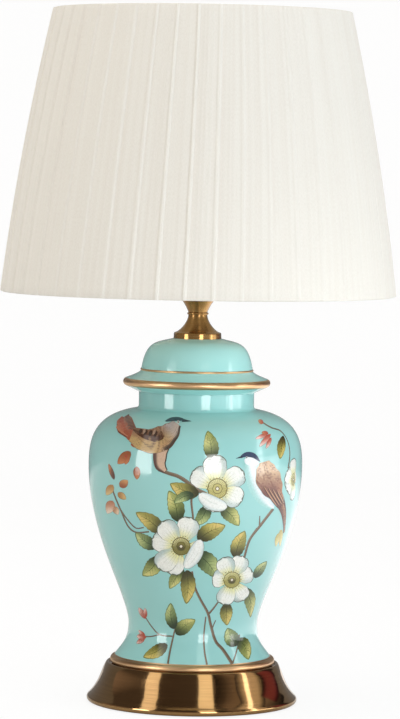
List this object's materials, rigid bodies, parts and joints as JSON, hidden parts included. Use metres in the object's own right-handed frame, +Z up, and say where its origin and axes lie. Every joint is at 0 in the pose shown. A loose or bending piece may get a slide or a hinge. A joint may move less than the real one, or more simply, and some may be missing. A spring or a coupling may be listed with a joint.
{
  "type": "table lamp",
  "caption": "Ginger jar table lamp with a glazed ceramic body, metal plinth, lidded top, brass neck, screw lampholder and a pleated drum shade that turns on it.",
  "frame": {"origin": "centre of the felt pad's underside, on the surface that the lamp stands on", "axes": "+Z up along the lamp's axis, -Y towards the viewer of the painted front, +X to that viewer's right"},
  "size_m": [0.3604, 0.3602, 0.628],
  "materials": {
    "felt": "matte",
    "fibreboard": "matte",
    "antique_brass_plinth": "satin",
    "antique_brass_neck": "satin",
    "black_rubber": "matte",
    "zinc_steel": "satin",
    "aqua_glaze": "gloss",
    "aqua_glaze_lid": "gloss",
    "holder_plastic": "satin",
    "switch_plastic": "satin",
    "porcelain": "satin",
    "contact_brass": "satin",
    "white_wire": "satin",
    "lining": "matte",
    "pleated_cloth": "matte",
    "bulb_insulator": "gloss",
    "bulb_cap": "satin",
    "bulb_housing": "satin",
    "opal_globe": "satin"
  },
  "bodies": {
    "stand": {"felt_pad": "felt", "bottom_board": "fibreboard", "base_plinth": "antique_brass_plinth", "cord_bushing": "black_rubber", "base_washer": "zinc_steel", "base_lock_washer": "zinc_steel", "base_nut": "zinc_steel", "threaded_tube": "zinc_steel", "foot_gasket": "black_rubber", "jar_body": "aqua_glaze", "lid_gasket": "black_rubber", "jar_lid": "aqua_glaze_lid", "neck_foot": "antique_brass_neck", "holder_cup": "antique_brass_neck", "upper_lock_washer": "zinc_steel", "upper_nut": "zinc_steel", "holder_cap": "holder_plastic", "holder_insert": "porcelain", "terminal_screws": "contact_brass", "thread_liner": "contact_brass", "centre_contact": "contact_brass", "holder_skirt": "holder_plastic", "switch_case": "switch_plastic", "switch_nut": "zinc_steel"},
    "knob": {"switch_shaft": "contact_brass", "switch_knob": "switch_plastic"},
    "ring": {"shade_ring": "holder_plastic"},
    "shade": {"fitter_ring": "white_wire", "fitter_arms": "white_wire", "bottom_ring": "white_wire", "top_ring": "white_wire", "shade_liner": "lining", "shade_cover": "pleated_cloth"},
    "bulb": {"bulb_tip": "contact_brass", "bulb_insulator": "bulb_insulator", "bulb_cap": "bulb_cap", "bulb_housing": "bulb_housing", "bulb_globe": "opal_globe"}
  },
  "joints": [
    {"name": "switch_turn", "type": "hinge", "parent": "stand", "child": "knob", "pos_m": [0.0258, 0, 0.3833], "axis": [1, 0, 0], "continuous": true},
    {"name": "ring_unscrew", "type": "slide", "parent": "stand", "child": "ring", "axis": [0, 0, 1], "range_m": [0, 0.02]},
    {"name": "shade_turn", "type": "hinge", "parent": "stand", "child": "shade", "pos_m": [0, 0, 0.3956], "axis": [0, 0, 1], "continuous": true},
    {"name": "bulb_unscrew", "type": "slide", "parent": "stand", "child": "bulb", "axis": [0, 0, 1], "range_m": [0, 0.24]}
  ]
}
